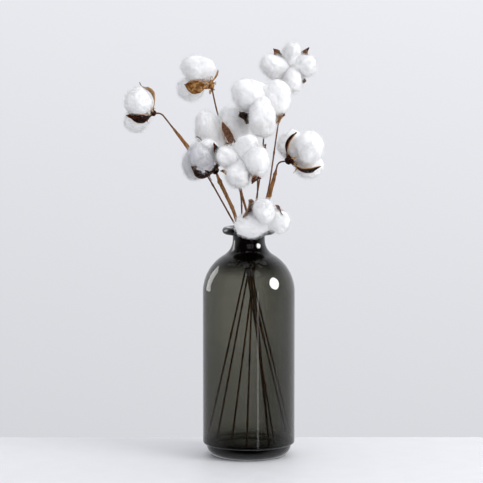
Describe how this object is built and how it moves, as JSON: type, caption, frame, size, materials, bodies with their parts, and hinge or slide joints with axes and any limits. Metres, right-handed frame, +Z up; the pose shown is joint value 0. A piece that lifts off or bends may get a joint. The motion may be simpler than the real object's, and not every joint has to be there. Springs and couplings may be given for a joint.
{
  "type": "glass bud vase",
  "caption": "Bottle-shaped bud vase of smoked glass with a narrow neck and a rolled lip, holding cotton stems that lift out.",
  "frame": {"origin": "centre of the flat face under the vase's foot, which it rests on", "axes": "+Z up along the vase's turned axis, -Y towards the front of the arrangement, +X to its right"},
  "size_m": [0.2157, 0.2452, 0.4309],
  "materials": {
    "smoked_glass": "clear, smoked grey, fire-polished",
    "cotton": "loose white fibre",
    "dried_bur": "dry, dark brown outside and tan inside",
    "stem_wire": "thin brown wire covered in paper tape",
    "stem_wrapping": "fibrous bark-like wrapping"
  },
  "bodies": {
    "vase": {"vase_glass": "smoked_glass"},
    "stem_1": {"stem_1_bur": "dried_bur", "stem_1_lock_1": "cotton", "stem_1_lock_2": "cotton", "stem_1_lock_3": "cotton", "stem_1_wire": "stem_wire", "stem_1_wrap": "stem_wrapping"},
    "stem_2": {"stem_2_bur": "dried_bur", "stem_2_lock_1": "cotton", "stem_2_lock_2": "cotton", "stem_2_lock_3": "cotton", "stem_2_wire": "stem_wire", "stem_2_wrap": "stem_wrapping"},
    "stem_3": {"stem_3_bur": "dried_bur", "stem_3_lock_1": "cotton", "stem_3_lock_2": "cotton", "stem_3_lock_3": "cotton", "stem_3_lock_4": "cotton", "stem_3_wire": "stem_wire"},
    "stem_4": {"stem_4_bur": "dried_bur", "stem_4_lock_1": "cotton", "stem_4_lock_2": "cotton", "stem_4_lock_3": "cotton", "stem_4_wire": "stem_wire"},
    "stem_5": {"stem_5_bur": "dried_bur", "stem_5_lock_1": "cotton", "stem_5_lock_2": "cotton", "stem_5_lock_3": "cotton", "stem_5_lock_4": "cotton", "stem_5_wire": "stem_wire"},
    "stem_6": {"stem_6_bur": "dried_bur", "stem_6_lock_1": "cotton", "stem_6_lock_2": "cotton", "stem_6_lock_3": "cotton", "stem_6_lock_4": "cotton", "stem_6_wire": "stem_wire", "stem_6_wrap": "stem_wrapping"},
    "stem_7": {"stem_7_bur": "dried_bur", "stem_7_lock_1": "cotton", "stem_7_lock_2": "cotton", "stem_7_lock_3": "cotton", "stem_7_lock_4": "cotton", "stem_7_wire": "stem_wire"},
    "stem_8": {"stem_8_bur": "dried_bur", "stem_8_lock_1": "cotton", "stem_8_lock_2": "cotton", "stem_8_lock_3": "cotton", "stem_8_wire": "stem_wire", "stem_8_wrap": "stem_wrapping"},
    "stem_9": {"stem_9_bur": "dried_bur", "stem_9_lock_1": "cotton", "stem_9_lock_2": "cotton", "stem_9_lock_3": "cotton", "stem_9_wire": "stem_wire"}
  },
  "joints": [
    {"name": "stem_1_pull", "type": "slide", "parent": "vase", "child": "stem_1", "axis": [-0.2371, 0.0062, 0.9715], "range_m": [0, 0.223]},
    {"name": "stem_2_pull", "type": "slide", "parent": "vase", "child": "stem_2", "axis": [0.0336, 0.1964, 0.9799], "range_m": [0, 0.233]},
    {"name": "stem_3_pull", "type": "slide", "parent": "vase", "child": "stem_3", "axis": [0.217, 0.1033, 0.9707], "range_m": [0, 0.223]},
    {"name": "stem_4_pull", "type": "slide", "parent": "vase", "child": "stem_4", "axis": [-0.0909, 0.0895, 0.9918], "range_m": [0, 0.23]},
    {"name": "stem_5_pull", "type": "slide", "parent": "vase", "child": "stem_5", "axis": [-0.1563, 0.1104, 0.9815], "range_m": [0, 0.233]},
    {"name": "stem_6_pull", "type": "slide", "parent": "vase", "child": "stem_6", "axis": [-0.2309, -0.0208, 0.9728], "range_m": [0, 0.225]},
    {"name": "stem_7_pull", "type": "slide", "parent": "vase", "child": "stem_7", "axis": [-0.1067, 0.0299, 0.9938], "range_m": [0, 0.23]},
    {"name": "stem_8_pull", "type": "slide", "parent": "vase", "child": "stem_8", "axis": [0.1264, -0.1113, 0.9857], "range_m": [0, 0.232]},
    {"name": "stem_9_pull", "type": "slide", "parent": "vase", "child": "stem_9", "axis": [0.1827, -0.0573, 0.9815], "range_m": [0, 0.233]}
  ]
}
